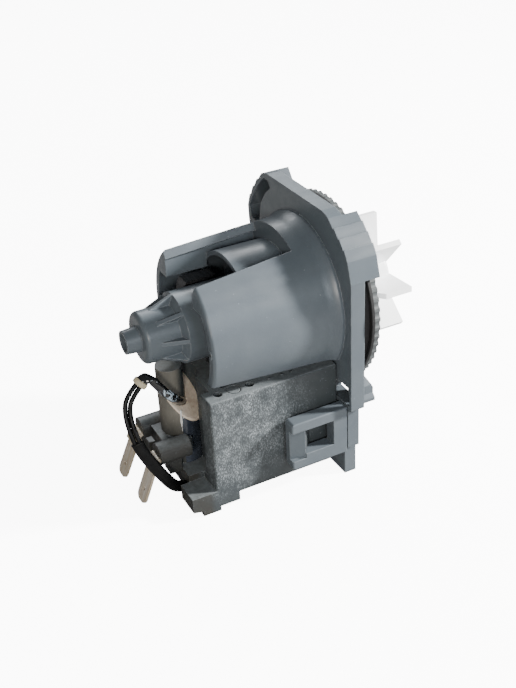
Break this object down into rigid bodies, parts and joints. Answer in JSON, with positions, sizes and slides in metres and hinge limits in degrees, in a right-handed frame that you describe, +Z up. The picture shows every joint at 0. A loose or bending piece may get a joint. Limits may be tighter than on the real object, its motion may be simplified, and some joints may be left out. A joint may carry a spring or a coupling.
{
  "type": "dishwasher drain pump",
  "caption": "Plug-in drain pump motor: flanged housing with thumb grips, slotted body, stator block with feet, bent terminals, lead loop, and a vaned impeller on the front.",
  "frame": {"origin": "on the motor axis, in the plane of the flange's front face, where the face seal starts", "axes": "+X along the motor axis towards the impeller, +Z up, -Y the side with the near thumb grip"},
  "size_m": [0.0949, 0.0669, 0.0888],
  "materials": {
    "housing_plastic": "satin",
    "cover_plastic": "satin",
    "casing_plastic": "matte, scuffed pale",
    "rubber": "matte",
    "ceramic": "fired",
    "shaft_steel": "ground",
    "carrier_plastic": "moulded",
    "ferrite": "ground",
    "washer": "moulded",
    "impeller_plastic": "satin",
    "lamination_steel": "stamped edges",
    "bobbin_plastic": "moulded",
    "copper": "enamelled",
    "dark_resin": "glossy",
    "pale_resin": "cured",
    "sleeve_plastic": "glossy",
    "lead_plastic": "satin",
    "pale_plastic": "matte",
    "tinned_brass": "tinned, dull"
  },
  "bodies": {
    "root": {"pump_housing": "housing_plastic", "front_cover": "cover_plastic", "face_seal": "rubber", "cover_o_ring": "rubber", "rear_bearing": "ceramic", "front_bearing": "ceramic", "rear_bearing_mount": "rubber", "front_bearing_mount": "rubber", "stator_casing": "casing_plastic", "stator_pole_near": "lamination_steel", "stator_pole_far": "lamination_steel", "stator_yoke": "lamination_steel", "coil_bobbin_near": "bobbin_plastic", "coil_bobbin_far": "bobbin_plastic", "coil_winding_near": "copper", "coil_winding_far": "copper", "potting": "dark_resin", "resin_cap": "pale_resin", "thermal_cutout": "ceramic", "lead_sleeve": "sleeve_plastic", "lead_strand_a": "lead_plastic", "lead_strand_b": "lead_plastic", "lead_band": "pale_plastic", "terminal_blade_near": "tinned_brass", "terminal_blade_far": "tinned_brass", "terminal_collar_near": "pale_plastic", "terminal_collar_far": "pale_plastic"},
    "rotor": {"shaft": "shaft_steel", "rotor_sleeve": "carrier_plastic", "rotor_magnet": "ferrite", "rear_thrust_washer": "washer", "front_thrust_washer": "washer", "coupling_driver": "carrier_plastic", "coupling_buffer": "rubber"},
    "impeller": {"impeller": "impeller_plastic", "coupling_cap": "impeller_plastic"},
    "latch_near": {"latch_arm_near": "housing_plastic"},
    "latch_far": {"latch_arm_far": "housing_plastic"}
  },
  "joints": [
    {"name": "rotor_spin", "type": "hinge", "parent": "root", "child": "rotor", "pos_m": [-0.0388, 0, 0], "axis": [1, 0, 0], "continuous": true},
    {"name": "impeller_swing", "type": "hinge", "parent": "rotor", "child": "impeller", "pos_m": [0.0143, 0, 0], "axis": [1, 0, 0], "range_deg": [-106, 106]},
    {"name": "latch_near_flex", "type": "hinge", "parent": "root", "child": "latch_near", "pos_m": [-0.00475, -0.0278, -0.03735], "axis": [0, 0, 1], "range_deg": [0, 13], "stiffness_Nm_per_rad": 1.4},
    {"name": "latch_far_flex", "type": "hinge", "parent": "root", "child": "latch_far", "pos_m": [-0.00475, 0.0278, -0.03735], "axis": [0, 0, -1], "range_deg": [0, 13], "stiffness_Nm_per_rad": 1.4}
  ]
}
